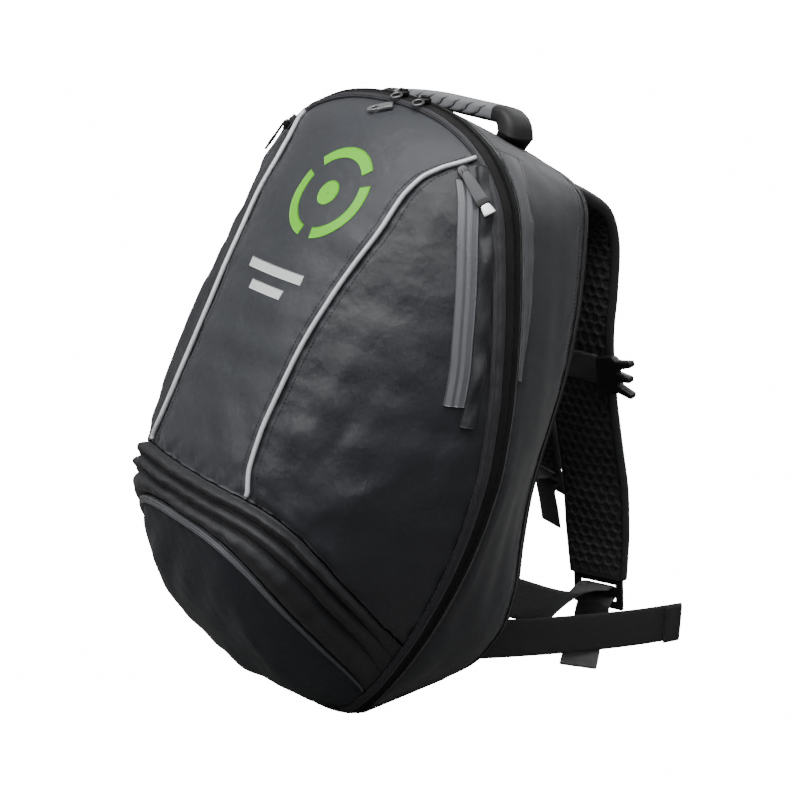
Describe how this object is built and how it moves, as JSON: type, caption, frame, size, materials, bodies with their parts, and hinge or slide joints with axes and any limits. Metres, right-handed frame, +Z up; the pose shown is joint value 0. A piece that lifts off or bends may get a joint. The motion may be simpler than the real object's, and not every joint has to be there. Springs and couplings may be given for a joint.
{
  "type": "motorcycle backpack",
  "caption": "Leaning soft-shell motorcycle backpack with a domed front, arched main zip, carry handle, padded shoulder straps and webbing.",
  "frame": {"origin": "middle of the base panel's underside, on the floor", "axes": "+Z up, -Y the bag's front, +X to the right of someone who faces the front"},
  "size_m": [0.3418, 0.4577, 0.4946],
  "materials": {
    "coated_cloth": "coated nylon cloth, satin",
    "dark_cloth": "coated cloth, near black",
    "air_mesh": "honeycomb spacer mesh over foam",
    "webbing": "woven polyester webbing",
    "silver_piping": "reflective silver piping",
    "coated_zip": "water-resistant zip, satin film",
    "zip_tape": "zip tape and coil",
    "moulded_plastic": "moulded black plastic",
    "grip_rubber": "moulded ribbed rubber",
    "slider_metal": "black lacquered slider",
    "pull_metal": "satin silver pull"
  },
  "bodies": {
    "root": {"front_panel": "coated_cloth", "side_panel_left": "coated_cloth", "side_panel_right": "coated_cloth", "piping_left": "silver_piping", "piping_right": "silver_piping", "expansion_ridge_1": "dark_cloth", "expansion_ridge_2": "dark_cloth", "expansion_ridge_3": "dark_cloth", "bottom_pocket": "dark_cloth", "bottom_pocket_zip": "coated_zip", "main_zip": "zip_tape", "edge_binding": "dark_cloth", "gusset": "coated_cloth", "rain_flap_left": "coated_cloth", "rain_flap_right": "coated_cloth", "side_zip_left": "coated_zip", "side_zip_right": "coated_zip", "side_slider_left": "slider_metal", "side_pull_left": "moulded_plastic", "side_pull_tip_left": "pull_metal", "side_slider_right": "slider_metal", "side_pull_right": "moulded_plastic", "side_pull_tip_right": "pull_metal", "main_slider_left": "slider_metal", "main_slider_right": "slider_metal", "crown_pull": "pull_metal", "base_panel": "dark_cloth", "back_panel": "air_mesh", "handle_grip": "grip_rubber", "handle_end_left": "grip_rubber", "handle_end_right": "grip_rubber", "shoulder_strap_left": "air_mesh", "shoulder_strap_right": "air_mesh", "ladder_lock_left": "moulded_plastic", "ladder_lock_right": "moulded_plastic", "lower_webbing_left": "webbing", "lower_webbing_right": "webbing", "waist_strap_left": "webbing", "waist_fold_left": "webbing", "waist_strap_right": "webbing", "waist_fold_right": "webbing", "sternum_strap_left": "webbing", "buckle_female": "moulded_plastic", "sternum_strap_right": "webbing", "buckle_male": "moulded_plastic"}
  },
  "joints": []
}
